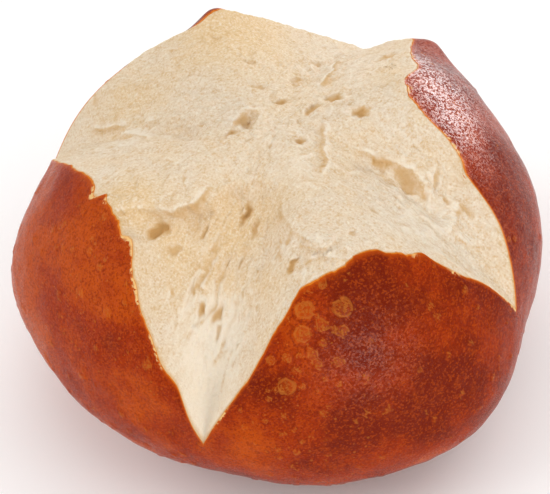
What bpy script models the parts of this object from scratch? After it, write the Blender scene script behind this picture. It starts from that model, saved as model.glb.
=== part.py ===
"""A pretzel roll: a round bun, cut crosswise on top, that burst open in the oven.

The browned skin is one rounded form about a centre inside the bun. The cross-cut leaves it as
four petals, and the bare crumb between them is a film stretched across their edges, swollen
upwards, with the troughs, ledges, cracks and pores that tearing left in it. The bun stands on a
flat base. Azimuths turn about +Z from +X, and tilts are measured down from +Z.
"""
import math
from collections import namedtuple

import bmesh
import bpy
import numpy as np

MM = 0.001
DEG = math.pi / 180

# The rounded form, about a centre that lies above the middle of the base.
CENTRE_HEIGHT = 27.0 * MM
HALF_WIDTH = 51.2 * MM
CROWN_HEIGHT = 41.0 * MM
BELLY_DEPTH = 32.6 * MM
CROWN_POWER = 2.12
BELLY_POWER = 2.16
PLAN_WAVES = ((3, -0.008), (4, -0.003))
BASE_CENTRE = (-0.6 * MM, 0.2 * MM)

Arm = namedtuple("Arm", "azimuth tilt")
Petal = namedtuple("Petal", "azimuth tilt power_before power_after")
Swell = namedtuple("Swell", "azimuth tilt height spread")
Mark = namedtuple("Mark", "height width fade path")

# The cross: each arm's tip, where the crust parts, and each petal's tip, between two arms.
ARMS = (
    Arm(-88.6 * DEG, 90.6 * DEG),
    Arm(-8.7 * DEG, 81.0 * DEG),
    Arm(90.0 * DEG, 80.5 * DEG),
    Arm(178.8 * DEG, 80.2 * DEG),
)
PETALS = (
    Petal(-46.7 * DEG, 46.3 * DEG, 2.3, 2.3),
    Petal(34.7 * DEG, 34.9 * DEG, 2.3, 1.8),
    Petal(132.7 * DEG, 44.4 * DEG, 1.6, 1.9),
    Petal(225.8 * DEG, 48.5 * DEG, 2.3, 2.3),
)

# Where the bun is fuller or hollower than the rounded form.
SWELLS = (
    Swell(-46.7 * DEG, 52 * DEG, 0.9 * MM, 26 * DEG),
    Swell(34.7 * DEG, 41 * DEG, 1.5 * MM, 26 * DEG),
    Swell(132.7 * DEG, 50 * DEG, 2.8 * MM, 26 * DEG),
    Swell(225.8 * DEG, 54 * DEG, 1.8 * MM, 26 * DEG),
    Swell(131 * DEG, 46 * DEG, 3.0 * MM, 5 * DEG),
    Swell(85 * DEG, 68 * DEG, 1.3 * MM, 8 * DEG),
    Swell(100 * DEG, 62 * DEG, -4.2 * MM, 22 * DEG),
    Swell(140 * DEG, 72 * DEG, -2.3 * MM, 24 * DEG),
    Swell(168 * DEG, 67 * DEG, 1.0 * MM, 17 * DEG),
    Swell(-172 * DEG, 72 * DEG, -1.0 * MM, 17 * DEG),
    Swell(-152 * DEG, 87 * DEG, 3.4 * MM, 19 * DEG),
    Swell(-123 * DEG, 101 * DEG, 0.6 * MM, 10 * DEG),
    Swell(-86 * DEG, 109 * DEG, -0.9 * MM, 9 * DEG),
    Swell(-58 * DEG, 109 * DEG, 1.0 * MM, 17 * DEG),
    Swell(-27 * DEG, 102 * DEG, 2.8 * MM, 20 * DEG),
    Swell(0 * DEG, 94 * DEG, -1.8 * MM, 17 * DEG),
    Swell(48 * DEG, 72 * DEG, -1.6 * MM, 17 * DEG),
    Swell(60 * DEG, 64 * DEG, 0.7 * MM, 12 * DEG),
    Swell(68 * DEG, 61 * DEG, 2.3 * MM, 5.5 * DEG),
)

# The crumb: how far its film swells up, and how much less it does along the arms.
CRUMB_RISE = 9.3 * MM
CRUMB_RIDGE = 1.75 * MM
LIP_HEIGHT = 0.7 * MM
LIP_WIDTH = 0.9 * MM

# What tearing left in the crumb, as bands along paths in plan: height, half width, and the
# length over which each end fades out. The paths are in millimetres.
MARKS = (
    Mark(-1.9 * MM, 2.8 * MM, 5 * MM, ((-41, 3), (-30, 2), (-22, 0.5), (-16, -3))),
    Mark(-2.0 * MM, 2.2 * MM, 4 * MM, ((17, -2.5), (25, -2), (30, -2), (37, -4))),
    Mark(-1.6 * MM, 2.5 * MM, 5 * MM, ((-1, 15), (-1, 23), (0, 33))),
    Mark(1.8 * MM, 2.6 * MM, 4 * MM, ((8, -19.5), (14, -23), (19, -24))),
    Mark(-1.2 * MM, 1.8 * MM, 3 * MM, ((14, -27), (20, -27), (24, -25))),
    Mark(1.4 * MM, 2.4 * MM, 4 * MM, ((-23, -26), (-17, -23), (-11, -21), (-6.5, -17))),
    Mark(-1.5 * MM, 2.0 * MM, 2 * MM, ((-16.2, -30.6), (-14.2, -29.4))),
)
# The trough down the front arm: everything in front of this line has sunk.
TROUGH_DEPTH = 2.8 * MM
TROUGH_SLOPE = 2.4 * MM
TROUGH_LINE = (
    (-60, -50), (-26, -32), (-19, -26), (-12, -23.5), (-7, -20), (-3, -15),
    (3, -14), (7, -19), (9, -27), (8, -70),
)

HALF_PETAL_STEPS = 18
EDGE_SAMPLES = 256
CRUMB_RINGS = 24
CRUST_RINGS = 13
CRUST_COLOUR = (0.33, 0.075, 0.017, 1.0)
CRUST_ROUGHNESS = 0.35


def bump(azimuth, tilt, swell):
    """A round hill on the unit sphere, one at its top."""
    cosine = np.sin(tilt) * math.sin(swell.tilt) * np.cos(azimuth - swell.azimuth)
    cosine = cosine + np.cos(tilt) * math.cos(swell.tilt)
    angle = np.arccos(np.clip(cosine, -1, 1))
    return np.exp(-(angle / swell.spread) ** 2)


def skin_radius(azimuth, tilt):
    """Distance from the centre to the skin: a superellipse, with its swells."""
    half_width = HALF_WIDTH * (1 + sum(size * np.sin(count * azimuth) for count, size in PLAN_WAVES))
    crown = tilt < math.pi / 2
    power = np.where(crown, CROWN_POWER, BELLY_POWER)
    height = np.where(crown, CROWN_HEIGHT, BELLY_DEPTH)
    sideways = (np.abs(np.sin(tilt)) / half_width) ** power
    upwards = (np.abs(np.cos(tilt)) / height) ** power
    radius = (sideways + upwards) ** (-1 / power)
    return radius + sum(swell.height * bump(azimuth, tilt, swell) for swell in SWELLS)


def skin_point(azimuth, tilt, inset=0.0):
    """Points on the skin, or inset below it, as an array of X, Y, Z."""
    radius = skin_radius(azimuth, tilt) - inset
    across = radius * np.sin(tilt)
    height = CENTRE_HEIGHT + radius * np.cos(tilt)
    return np.stack([across * np.cos(azimuth), across * np.sin(azimuth), height], axis=-1)


def edge_at(turn):
    """The crust's edge: azimuth, tilt and share of the way from petal to arm.

    A turn counts the arms passed, so it is whole at an arm and runs from 0 to 4.
    """
    azimuth = np.zeros(turn.shape)
    tilt = np.zeros(turn.shape)
    share = np.zeros(turn.shape)
    for index, petal in enumerate(PETALS):
        before, after, span = neighbours(index)
        here = before.azimuth + span * (turn - index)
        early = here < petal.azimuth
        reach = np.where(early, petal.azimuth - before.azimuth, before.azimuth + span - petal.azimuth)
        part = np.abs(here - petal.azimuth) / reach
        power = np.where(early, petal.power_before, petal.power_after)
        end = np.where(early, before.tilt, after.tilt)
        inside = (turn >= index) & (turn < index + 1)
        azimuth = np.where(inside, here, azimuth)
        tilt = np.where(inside, petal.tilt + (end - petal.tilt) * part ** power, tilt)
        share = np.where(inside, part, share)
    return azimuth, tilt, share


def neighbours(index):
    """The arms on either side of a petal, and the angle between them."""
    before = ARMS[index]
    after = ARMS[(index + 1) % len(ARMS)]
    return before, after, (after.azimuth - before.azimuth) % (2 * math.pi)


def even_turns(steps):
    """Turns spaced evenly along the crust's edge, with one at each arm and petal."""
    corners = []
    for index, petal in enumerate(PETALS):
        before, _, span = neighbours(index)
        corners += [index, index + (petal.azimuth - before.azimuth) / span]
    corners.append(len(ARMS))
    result = []
    for low, high in zip(corners[:-1], corners[1:]):
        fine = low + (high - low) * np.arange(EDGE_SAMPLES) / EDGE_SAMPLES
        azimuth, tilt, _ = edge_at(fine)
        strides = np.linalg.norm(np.diff(skin_point(azimuth, tilt), axis=0), axis=1)
        travelled = np.concatenate([[0], np.cumsum(strides)])
        stops = travelled[-1] * np.arange(steps) / steps
        result.append(np.interp(stops, travelled, fine))
    return np.concatenate(result)


def path_distance(x, y, path):
    """Distance from each point to a path in plan, and how far along the path it is."""
    nearest = np.full(x.shape, np.inf)
    along = np.zeros(x.shape)
    side = np.zeros(x.shape)
    run = 0.0
    for (ax, ay), (bx, by) in zip(path[:-1], path[1:]):
        ax, ay, bx, by = ax * MM, ay * MM, bx * MM, by * MM
        length = math.hypot(bx - ax, by - ay)
        ux, uy = (bx - ax) / length, (by - ay) / length
        forward = (x - ax) * ux + (y - ay) * uy
        reach = np.clip(forward, 0, length)
        distance = np.hypot(x - ax - reach * ux, y - ay - reach * uy)
        closer = distance < nearest
        nearest = np.where(closer, distance, nearest)
        along = np.where(closer, run + forward, along)
        side = np.where(closer, (x - ax) * uy - (y - ay) * ux, side)
        run += length
    return nearest, along, side, run


def smooth_step(value):
    value = np.clip(value, 0, 1)
    return value * value * (3 - 2 * value)


def torn_relief(x, y):
    """Height that the tearing adds to the crumb or takes from it."""
    height = np.zeros(x.shape)
    for mark in MARKS:
        distance, along, _, length = path_distance(x, y, mark.path)
        ends = smooth_step(along / mark.fade + 0.5) * smooth_step((length - along) / mark.fade + 0.5)
        height += mark.height * ends * np.exp(-(distance / mark.width) ** 2)
    distance, _, side, _ = path_distance(x, y, TROUGH_LINE)
    inside = np.where(side > 0, distance, -distance) / TROUGH_SLOPE
    return height - TROUGH_DEPTH * smooth_step((inside + 1) / 2)


def crumb_rim(turn):
    """The crumb's own edge, a lip's height inside the crust's."""
    azimuth, tilt, _ = edge_at(turn)
    return skin_point(azimuth, tilt - LIP_WIDTH / HALF_WIDTH, LIP_HEIGHT)


def crumb_rings(turn, rings):
    """Rings of the torn crumb, from its middle out to its edge, closer together there.

    The film is harmonic: each wave around its edge dies away towards the middle.
    """
    even = len(ARMS) * np.arange(EDGE_SAMPLES) / EDGE_SAMPLES
    waves = np.fft.rfft(crumb_rim(even), axis=0) / EDGE_SAMPLES
    waves[1:] *= 2
    order = np.arange(len(waves))
    turning = np.exp(2j * math.pi / len(ARMS) * turn[:, None] * order)
    _, _, share = edge_at(turn)
    centre = np.array([0, 0, CENTRE_HEIGHT])
    result = []
    for step in range(rings):
        out = math.sin(math.pi / 2 * step / rings)
        ring = (turning @ (waves * out ** order[:, None])).real
        middle = 1 - out ** 2
        ring[:, 2] += CRUMB_RISE * middle
        ring[:, 2] += CRUMB_RIDGE * np.cos(math.pi * share) * 4 * out ** 2 * middle
        outward = ring - centre
        outward /= np.linalg.norm(outward, axis=1)[:, None]
        relief = torn_relief(ring[:, 0], ring[:, 1]) * (1 - out ** 8)
        result.append(ring + outward * relief[:, None])
    result.append(crumb_rim(turn))
    return result


def base_tilt(azimuth):
    """The tilt at which the skin meets the floor, found by halving."""
    low = np.full(azimuth.shape, math.pi / 2)
    high = np.full(azimuth.shape, math.pi)
    for _ in range(40):
        middle = (low + high) / 2
        above = skin_point(azimuth, middle)[:, 2] > 0
        low = np.where(above, middle, low)
        high = np.where(above, high, middle)
    return low


def crust_rings(turn, rings):
    """Rings of the skin from its torn edge down to the base."""
    azimuth, tilt, _ = edge_at(turn)
    floor = base_tilt(azimuth)
    result = []
    for down in np.linspace(0, 1, rings + 1):
        ring = skin_point(azimuth, tilt + (floor - tilt) * down)
        result.append(ring)
    result[-1][:, 2] = 0
    return result


def build_roll():
    """The bun as one closed solid: a fan, rings from the top down, and a fan across the base."""
    turn = even_turns(HALF_PETAL_STEPS)
    crumb = crumb_rings(turn, CRUMB_RINGS)
    crust = crust_rings(turn, CRUST_RINGS)
    rings = crumb[1:] + crust
    shift = np.array([BASE_CENTRE[0], BASE_CENTRE[1], 0])
    mesh = bmesh.new()
    loops = [[mesh.verts.new(point - shift) for point in ring] for ring in rings]
    top = mesh.verts.new(crumb[0][0] - shift)
    bottom = mesh.verts.new((0, 0, 0))
    count = len(turn)
    for upper, lower in zip(loops[:-1], loops[1:]):
        for i in range(count):
            j = (i + 1) % count
            mesh.faces.new((upper[i], lower[i], lower[j], upper[j]))
    for i in range(count):
        j = (i + 1) % count
        mesh.faces.new((top, loops[0][i], loops[0][j]))
        mesh.faces.new((bottom, loops[-1][j], loops[-1][i]))
    bmesh.ops.triangulate(mesh, faces=mesh.faces[:])
    bmesh.ops.recalc_face_normals(mesh, faces=mesh.faces[:])
    data = bpy.data.meshes.new("pretzel_roll")
    mesh.to_mesh(data)
    mesh.free()
    roll = bpy.data.objects.new("pretzel_roll", data)
    bpy.context.scene.collection.objects.link(roll)
    data.shade_smooth()
    data.set_sharp_from_angle(angle=50 * DEG)
    return roll


def crust_material():
    """Lye-browned crust: a deep red-brown with a low gloss."""
    material = bpy.data.materials.new("browned_crust")
    material.use_nodes = True
    shader = material.node_tree.nodes["Principled BSDF"]
    shader.inputs["Base Color"].default_value = CRUST_COLOUR
    shader.inputs["Roughness"].default_value = CRUST_ROUGHNESS
    shader.inputs["Metallic"].default_value = 0.0
    return material


def main():
    for old in list(bpy.data.objects):
        bpy.data.objects.remove(old)
    roll = build_roll()
    roll.data.materials.append(crust_material())


main()
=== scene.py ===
import math
from collections import namedtuple
from itertools import product

import bpy
import numpy as np
from bpy.props import FloatProperty, FloatVectorProperty, IntProperty, PointerProperty
from mathutils import Matrix, Vector


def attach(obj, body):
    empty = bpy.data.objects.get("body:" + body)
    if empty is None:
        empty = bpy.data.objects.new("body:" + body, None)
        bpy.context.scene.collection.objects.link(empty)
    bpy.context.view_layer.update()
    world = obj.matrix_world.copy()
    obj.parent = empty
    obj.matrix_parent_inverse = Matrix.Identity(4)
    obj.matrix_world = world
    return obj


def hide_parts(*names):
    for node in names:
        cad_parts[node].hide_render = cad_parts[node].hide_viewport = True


bl_info = {
    "name": "Pretzel Roll",
    "version": (1, 0, 0),
    "blender": (4, 5, 0),
    "location": "View3D > Sidebar > Roll",
    "description": "Builds a lye-browned pretzel roll that burst open along its cross-cut",
    "category": "Add Mesh",
}

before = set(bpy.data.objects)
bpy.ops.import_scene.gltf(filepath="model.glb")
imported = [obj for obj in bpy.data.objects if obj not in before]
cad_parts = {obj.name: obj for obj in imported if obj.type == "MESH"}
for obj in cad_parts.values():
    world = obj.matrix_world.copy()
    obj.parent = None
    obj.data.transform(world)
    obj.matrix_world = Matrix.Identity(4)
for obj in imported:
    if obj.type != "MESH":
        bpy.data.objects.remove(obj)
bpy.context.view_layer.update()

MM = 0.001
DEG = math.pi / 180
NODE = "pretzel_roll"
BODY = "root"


def linear(code):
    """An sRGB hex colour as linear red, green and blue, with an alpha of one."""
    parts = [int(code[i:i + 2], 16) / 255 for i in (1, 3, 5)]
    return tuple(c / 12.92 if c < 0.04045 else ((c + 0.055) / 1.055) ** 2.4 for c in parts) + (1.0,)


def rows(kind, table):
    """A named tuple for each row of a table."""
    return tuple(kind(*row) for row in table)


# The rounded form, about a centre that lies above the middle of the base.
CENTRE_HEIGHT = 27.0 * MM
HALF_WIDTH = 51.2 * MM
CROWN_HEIGHT = 41.0 * MM
BELLY_DEPTH = 32.6 * MM
CROWN_POWER = 2.12
BELLY_POWER = 2.16
PLAN_WAVES = ((3, -0.008), (4, -0.003))
BASE_CENTRE = (-0.6 * MM, 0.2 * MM)

Arm = namedtuple("Arm", "azimuth tilt")
Petal = namedtuple("Petal", "azimuth tilt power_before power_after")
Swell = namedtuple("Swell", "azimuth tilt height spread")
Mark = namedtuple("Mark", "height width fade path")
Ledge = namedtuple("Ledge", "height width fade path")
Pore = namedtuple("Pore", "x y length width angle depth")
Flow = namedtuple("Flow", "azimuth angle long wide height")
Patch = namedtuple("Patch", "x y spread share")
Nick = namedtuple("Nick", "azimuth depth spread")
Scorch = namedtuple("Scorch", "azimuth tilt spread share")
Blister = namedtuple("Blister", "azimuth tilt radius")
Softbox = namedtuple("Softbox", "name azimuth elevation distance width power")

# The cross: each arm's tip, where the crust parts, and each petal's tip, between two arms.
ARMS = tuple(Arm(azimuth * DEG, tilt * DEG) for azimuth, tilt in (
    (-88.6, 90.6), (-8.7, 81), (90, 80.5), (178.8, 80.2),
))
PETALS = tuple(Petal(azimuth * DEG, tilt * DEG, before, after) for azimuth, tilt, before, after in (
    (-46.7, 46.3, 2.3, 2.3), (34.7, 34.9, 2.3, 1.8), (132.7, 44.4, 1.6, 1.9), (225.8, 48.5, 2.3, 2.3),
))

# Where the bun is fuller or hollower than the rounded form.
SWELLS = tuple(Swell(turn * DEG, tilt * DEG, height * MM, spread * DEG) for turn, tilt, height, spread in (
    (-46.7, 52, 0.9, 26), (34.7, 41, 1.5, 26), (132.7, 50, 2.8, 26), (225.8, 54, 1.8, 26), (131, 46, 3, 5),
    (85, 68, 1.3, 8), (100, 62, -4.2, 22), (140, 72, -2.3, 24), (168, 67, 1, 17), (-172, 72, -1, 17),
    (-152, 87, 3.4, 19), (-123, 101, 0.6, 10), (-86, 109, -0.9, 9), (-58, 109, 1, 17), (-27, 102, 2.8, 20),
    (0, 94, -1.8, 17), (48, 72, -1.6, 17), (60, 64, 0.7, 12), (68, 61, 2.3, 5.5),
))

# The crust's torn edge: bits that broke off (deep) or stayed on (shallow), in millimetres.
NICKS = rows(Nick, (
    (-168, 0.9, 6), (-150, -0.6, 4), (-141, 1.5, 2), (-138, -1.1, 0.9), (-133, -0.4, 2), (-119, -2, 3),
    (-107, 0.8, 3), (-94, -5.5, 2.6), (-79, 1.6, 5.5), (-64.5, -1.4, 3.2), (-52, 1.5, 4.5),
    (-41, -0.5, 2.5), (-35, 0.5, 2), (-27, -1.1, 1.8), (-20, 0.8, 2), (-15, -0.6, 3), (0, 1.2, 2),
    (4.6, -3.6, 3.6), (16, 0.8, 3), (33, -0.7, 4), (42, -1.1, 3), (51.5, 1.9, 4), (62, -0.5, 3.5),
    (71, 1.5, 3), (106, 2.4, 11), (148, 5.2, 7), (161, 2.4, 6), (-127, -0.4, 0.7), (-123, 0.5, 0.8),
    (-113, 0.4, 0.8), (-46, -0.5, 0.8), (-31, 0.4, 0.7),
))
RAGGED_STEPS = ((7.0, 0.40), (2.4, 0.32), (1.1, 0.24))

# The crumb: how far its film swells up, and how much less it does along the arms.
CRUMB_RISE = 9.3 * MM
CRUMB_RIDGE = 1.75 * MM
RIM_INSET = 0.12 * MM
RIM_SHIFT = 0.2 * MM

# At the back the crumb bulges next to its rim, in millimetres. The bulge rises and the relief dies
# away with these powers of the share of the way out to the rim.
RIM_BULGE = 4.0
BULGE_POWER = 30
RELIEF_POWER = 40

# What tearing left in the crumb, in millimetres in plan: bands along paths, and a sunken trough.
MARKS = rows(Mark, (
    (-1.9, 2.6, 5, ((-41, 1), (-30, -0.5), (-22, -1.5), (-16, -4))),
    (-1.6, 2, 4, ((16, -2), (20, -1.2), (24, -1.5), (28, -2.5), (34, -4))),
    (-1.2, 2.3, 5, ((-1, 15), (-1, 23), (0, 33))),
    (1.6, 2.4, 3, ((8.5, -19.5), (11.5, -22.5), (15.5, -24), (19, -24))),
    (-1.2, 3, 3, ((33.5, -3), (34.5, 3), (34, 9))),
    (-0.8, 1.4, 2, ((14, -28), (17, -26.3), (21, -26))),
    (-0.7, 1.8, 1.5, ((-7.6, -0.6), (-5.8, 1.2))),
    (-0.9, 1.5, 2, ((-3.5, -17), (-5.5, -14), (-7.5, -12))),
))
# Torn lips, raised to the left of their path and broken off sharply to its right.
LEDGES = rows(Ledge, (
    (0.4, 3, 4, ((-25, -28.5), (-20, -26), (-17, -24.9), (-13.5, -23.8))),
    (0.7, 3, 2, ((-15.4, -24.6), (-12.7, -23.5), (-9.2, -20.2), (-8.6, -16.4))),
    (0.55, 2.4, 2, ((-42, 3.2), (-38, 2.6), (-33.5, 1.9))),
    (0.45, 2, 2, ((-35, -0.2), (-31, -0.6), (-27.5, -2.6), (-25.8, -5))),
    (0.3, 1.6, 2, ((-30, 1.9), (-25, 1.8), (-19, 0.6))),
    (0.3, 2, 2, ((-37, 0.8), (-32.5, -0.3), (-28.5, -3.2))),
    (0.4, 1.8, 2, ((-9.4, -3.6), (-9.6, -0.5), (-7.8, 2.6), (-5.2, 3.4), (-4.6, 0.6), (-5.4, -2.2))),
    (0.45, 2, 2.5, ((15, 0.4), (19.9, 0.4), (23.5, 1), (27.5, 0.4), (30, -0.8))),
    (0.3, 1.6, 2, ((29.8, -1.6), (27, -2.9), (23.6, -2.8), (21.8, -1.6), (19.3, -2.9), (15.8, -3.8))),
    (0.6, 1.4, 2, ((7.6, 3.4), (9.2, 0.3), (9.8, -3), (11.3, -4.6), (11.2, -9))),
    (0.45, 2.2, 2, ((35.6, -6.5), (36.6, -3.4), (36.6, -1), (34.8, 0.6))),
    (0.65, 1.8, 2, ((3.1, 14.2), (2.8, 18.3), (2, 24.3), (0.3, 31))),
    (0.5, 1.2, 1.5, ((-0.4, 13.6), (-1.2, 15.2), (-3, 16.2))),
    (0.45, 2.4, 3, ((5.8, -15.6), (7.4, -19), (10.8, -22.6), (13.9, -23.8), (17, -24))),
    (0.35, 1.6, 2, ((13, 25.5), (11.8, 29.5), (8.6, 31.6))),
    (0.5, 1.3, 1.5, ((12.6, -25), (15.4, -24.6), (19, -25.4))),
    (0.45, 1.1, 1.5, ((15.5, -27.4), (19.4, -26.6), (23.4, -26))),
    (0.25, 1, 1.5, ((11.6, -26), (12.6, -29.4), (14.6, -31))),
))
LEDGE_FOOT = 0.6
FLAKES = 220
TROUGH_DEPTH = 2.8
TROUGH_SLOPES = (0.55, 2.8)
TROUGH_LINE = (
    (-60, -50), (-26, -32), (-19, -26), (-12, -23.5), (-7, -20), (-3, -15),
    (3, -14), (7, -19), (9, -27), (8, -70),
)

# The pores that show best, in millimetres in plan; angles are from +X.
PORES = rows(Pore, (
    (-16.1, -28.6, 2.5, 1.2, 60, 1.4), (-12.1, -30.4, 1.5, 0.9, 55, 0.6), (-8.1, -25.2, 1.7, 0.6, 72, 0.6),
    (-0.8, -18.6, 2.6, 0.9, 84, 1), (2.4, -21.8, 2.4, 0.7, 86, 0.6), (-1.5, -29.5, 1.3, 0.6, 85, 0.4),
    (-5.3, -32.4, 2.2, 0.8, 85, 0.5), (-4, -37.3, 1.6, 0.7, 85, 0.8), (-0.9, -37.2, 2.2, 0.8, 80, 0.7),
    (3.8, -33.3, 2, 0.6, 84, 0.35), (9.2, -26.4, 1.2, 0.5, 80, 0.3), (12.8, -28.4, 1.5, 0.6, 65, 0.8),
    (0.3, -39.6, 1.4, 0.5, 85, 0.5), (13.9, 7.7, 1.9, 1.2, 5, 0.8), (7.4, 11, 1.9, 1.1, 20, 0.8),
    (5.2, -1.7, 1, 0.9, 0, 0.8), (4.2, 6.8, 2.3, 0.8, 75, 0.6), (-7.6, 0.4, 1.8, 1.3, 45, 0.5),
    (-8.9, -3.3, 1.4, 0.8, 40, 0.5), (-8.1, 10.4, 1.9, 0.7, 10, 0.5), (-2.6, 7.2, 1.5, 0.8, 30, 0.6),
    (-12.3, 16.5, 1.3, 0.5, 10, 0.4), (-2.1, 14.6, 1.3, 0.8, 60, 0.5), (-2.4, 26.8, 1.6, 0.8, 70, 0.5),
    (11.4, 30.4, 2.6, 1.5, 60, 0.6), (15.3, 15.3, 0.9, 0.5, 20, 0.4), (-16.1, -0.9, 1.2, 0.5, 20, 0.5),
    (-16.8, -2.4, 1, 0.5, 50, 0.4), (26.2, -1, 2.6, 1.1, 162, 0.6), (20.6, 0.2, 2.4, 0.9, 170, 0.4),
    (22.2, -20.3, 1.1, 0.7, -30, 0.5), (23.6, -12.1, 1.2, 0.6, -15, 0.3), (31.3, 1.7, 1.6, 0.8, 100, 0.5),
    (34.3, -0.2, 1.2, 0.6, -40, 0.5), (31.1, -1.6, 1.3, 0.5, -35, 0.4), (38.4, -0.8, 1.3, 0.8, -20, 0.5),
    (41.5, -10.4, 1.8, 1.3, -60, 0.3), (-4.5, -27, 4.5, 0.8, 86, 0.35), (-1.8, -33, 5, 0.9, 86, 0.35),
    (1.2, -27, 4, 0.7, 86, 0.3), (-6.5, -35, 3, 0.8, 86, 0.35), (2.5, -37, 3.5, 0.8, 82, 0.3),
    (-9.5, -24, 3, 0.8, 80, 0.3), (5, 20, 3.5, 0.7, 78, 0.35), (-3.5, 19, 3.5, 0.8, 95, 0.3),
))
FINE_PORES = 360
FINE_PORE_REACH = 46.0

# The way the torn fibres run down each arm: degrees from +X, and their sizes in millimetres.
FLOWS = rows(Flow, (
    (-88, 88, 7, 1.3, 0.3), (-8, -17, 5, 1.3, 0.26), (90, 82, 4.5, 1.5, 0.28), (178, 5, 5.5, 1.1, 0.24),
))
# Where the crumb tore raggedly, and where it is whiter or more golden than elsewhere.
TORN_PATCHES = rows(Patch, (
    (17, -26.5, 5.5, 1), (-21, -26, 4.5, 0.6), (32, 0, 5.5, 0.7), (-33, 1.5, 6, 0.5), (14, 23, 5, 0.8),
    (-5, 1, 6, 0.7), (0, 24, 6, 0.6), (24, -1, 6, 0.5), (7, 5, 8, 0.5),
))
# The white patches at the front tip, (0, -40) and (0, -46), are painted light that lifts the shade where the
# crumb folds into a V there; the others are the crumb's own whiter tone.
WHITE_AND_LIT_PATCHES = rows(Patch, (
    (0, -40, 8, 0.8), (0, -46, 7, 1), (31, -9, 9, 0.5), (-30, -3, 8, 0.4), (6, -8, 7, 0.4),
))
GOLDEN_PATCHES = rows(Patch, (
    (-20, 26, 14, 1), (-21, -25, 7, 1), (-12, -30, 9, 0.8), (-34, 6, 12, 0.6), (-2, -22, 8, 1),
    (14, 22, 6, 0.5), (3, -18, 6, 0.7), (-4, -30, 5, 0.8), (8, -32, 6, 0.6), (-10, -36, 6, 0.6),
    (0, -33, 6, 0.7),
))
# Where the crust browned more, or less, than it did elsewhere.
SCORCHES = rows(Scorch, (
    (-44, 53, 8, 0.9), (-41, 60, 9, 0.7), (-55, 84, 12, 0.4), (-36, 84, 9, 0.6), (-26, 68, 11, -0.5),
    (-80, 92, 9, -0.7), (-52, 72, 12, 0.55), (-28, 78, 12, 0.4), (-68, 60, 7, -0.3), (-128, 74, 7, 0.7),
    (-118, 94, 9, 0.4), (-140, 76, 34, -1.1), (12, 62, 10, 0.7), (28, 60, 10, 0.4), (-150, 104, 26, -0.9),
))
# Where the skin is glossiest.
GLOSSES = rows(Scorch, (
    (56, 43, 9, 0.7), (36, 44, 9, 0.9), (20, 47, 8, 0.7), (48, 64, 14, 0.3), (15, 84, 20, 0.07),
    (-50, 68, 10, 0.09), (5, 58, 12, 0.06), (-135, 76, 28, 0.02),
))
# Where flakes of the skin came off at the torn edge and left it pale: depths are shares, and the
# reach from the edge is in millimetres.
PEELINGS = rows(Nick, (
    (-142, 0.7, 2.5), (-136, 0.5, 1.5), (-120, 0.8, 3), (-111, 0.7, 4), (-101, 0.5, 3), (-29, 0.4, 1.5),
    (-22, 0.6, 1.5), (-10, 0.6, 2), (13, 0.5, 4), (36, 0.5, 3), (-84, 0.5, 2), (58, 0.4, 5),
))
PEEL_REACH = 1.1

# The blisters that show best: degrees, and radii in millimetres.
BLISTERS = rows(Blister, (
    (-63.6, 55.4, 2), (-53.7, 56.3, 2.1), (-59.5, 59.1, 1.5), (-64.8, 60.7, 1.8), (-55.3, 61.2, 1.4),
    (-69, 65.7, 1), (-66.9, 68.4, 1), (-63.1, 65.1, 1.3), (-62, 67.2, 1.3), (-57.4, 67.5, 1.3),
    (-69.4, 72.1, 1.9), (-66.1, 72.1, 0.9), (-73, 66.1, 1.1), (-62, 79.2, 1), (-57.8, 50.2, 1.2),
    (-60.2, 62.9, 1), (-65.9, 65.1, 0.8), (-48.6, 64.6, 0.8), (-31.5, 66.1, 0.9), (-39.6, 75, 0.7),
    (-32.5, 75.3, 0.7), (-69.2, 95.2, 0.8), (-68.2, 89.9, 0.8), (-136.3, 62.9, 0.9), (-143.4, 63.5, 0.8),
    (-124.8, 66.8, 1.1), (-122.9, 58.8, 0.8), (-115.5, 66.3, 1.1), (-112, 62.1, 0.7), (-102.2, 73, 1.2),
    (-119.2, 86, 1.1), (-131, 71.2, 0.8), (-132.9, 60.9, 0.7),
))
FINE_BLISTERS = 300

# Softboxes about the roll: angles in degrees, metres and watts.
SOFTBOXES = rows(Softbox, (
    ("top_softbox", 90, 80, 1.3, 1.6, 8.5),
    ("back_softbox", 80, 10, 1.1, 0.7, 7),
    ("front_softbox", -50, 12, 1.2, 0.6, 6.5),
    ("left_softbox", -155, 30, 1.2, 1, 7.4),
    ("right_softbox", 10, 35, 1.2, 1, 3.6),
))

# Points round a ring and rings in a skin. The crumb's rings are closer near its rim, and the
# crust's near its torn edge.
EDGE_SAMPLES = 1024
AROUND = 768
CRUMB_STEPS = 150
CRUMB_COUNTS = ((0.2, AROUND // 4), (0.45, AROUND // 2), (2.0, AROUND))
CRUST_STEPS = 106
CRUMB_CROWDING = 0.35
CRUST_CROWDING = 1.35
HIDDEN_RINGS = 8
INNER_RINGS = 10
BASE_RINGS = (0.75, 0.45, 0.15)

# The crust's lip, ring by ring: how far below its edge and how deep, in millimetres.
LIP_RINGS = ((0.1, 0.6), (-0.05, 0.35), (-0.05, 0.15))
# The gap between the crust and the crumb's hidden side, and how near the torn edge (in millimetres)
# and the floor the ripples and blisters die away.
CRUMB_GAP = 0.1 * MM
CALM_EDGE = 2.5
CALM_FOOT = 4 * MM
# Scraps lie only where the torn share is above this.
SCRAP_START = 0.55


# --- The form -----------------------------------------------------------------------------------

def bump(azimuth, tilt, swell):
    """A round hill on the unit sphere, one at its top."""
    cosine = np.sin(tilt) * math.sin(swell.tilt) * np.cos(azimuth - swell.azimuth)
    cosine = cosine + np.cos(tilt) * math.cos(swell.tilt)
    angle = np.arccos(np.clip(cosine, -1, 1))
    return np.exp(-(angle / swell.spread) ** 2)


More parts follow.
